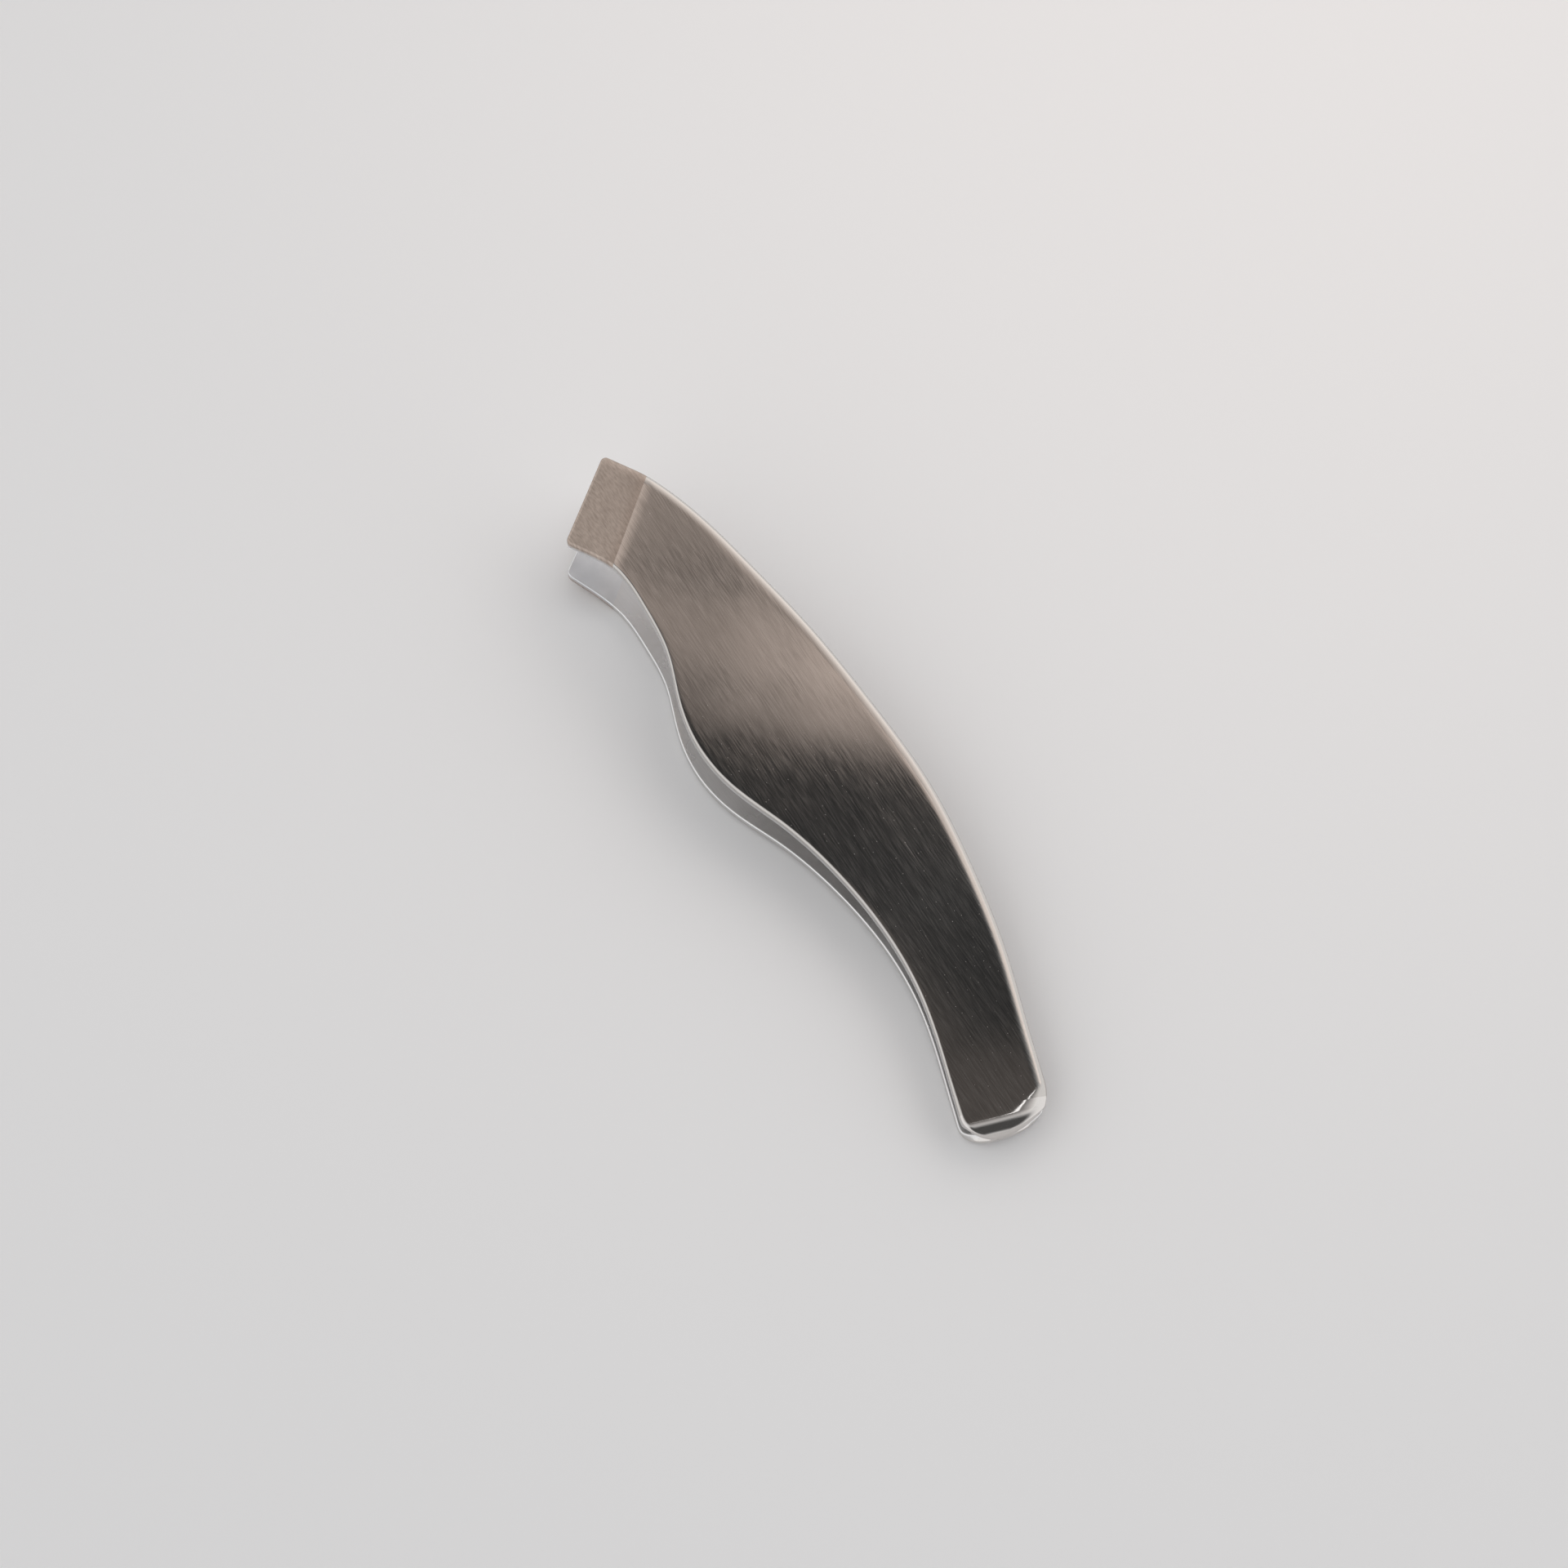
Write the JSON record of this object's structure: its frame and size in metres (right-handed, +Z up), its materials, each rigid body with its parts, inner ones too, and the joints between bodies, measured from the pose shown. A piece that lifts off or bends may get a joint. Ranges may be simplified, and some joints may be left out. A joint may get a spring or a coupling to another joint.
{
  "type": "ham tongs",
  "caption": "Spring tongs for thin slices and bones, folded from one stainless strip, with flat brushed arms curving sideways and creased jaws.",
  "frame": {"origin": "centre of the bounding box seen from above, on the plane that the lower arm rests on", "axes": "+X from the folded tail towards the tips, +Y towards the hollow side, +Z up from the lower arm to the upper arm"},
  "size_m": [0.1358, 0.0548, 0.0193],
  "materials": {
    "polished_fold": "bare stainless, polished round the fold",
    "brushed_arm": "bare stainless, brushed along the arm",
    "matt_jaw": "bare stainless, fine matt grain"
  },
  "bodies": {
    "fold": {"spring_bend": "polished_fold"},
    "upper": {"upper_arm": "brushed_arm", "upper_jaw": "matt_jaw"},
    "lower": {"lower_arm": "brushed_arm", "lower_jaw": "matt_jaw"}
  },
  "joints": [
    {"name": "upper_squeeze", "type": "hinge", "parent": "fold", "child": "upper", "pos_m": [-0.06472, -0.01941, 0.00321], "axis": [0, 1, 0], "range_deg": [0, 2.56], "stiffness_Nm_per_rad": 20},
    {"name": "lower_squeeze", "type": "hinge", "parent": "fold", "child": "lower", "pos_m": [-0.06472, -0.01941, 0.00321], "axis": [0, -1, 0], "range_deg": [0, 2.56], "stiffness_Nm_per_rad": 20}
  ],
  "couplings": [
    {"joint": "lower_squeeze", "follows": "upper_squeeze", "ratio": 1}
  ]
}
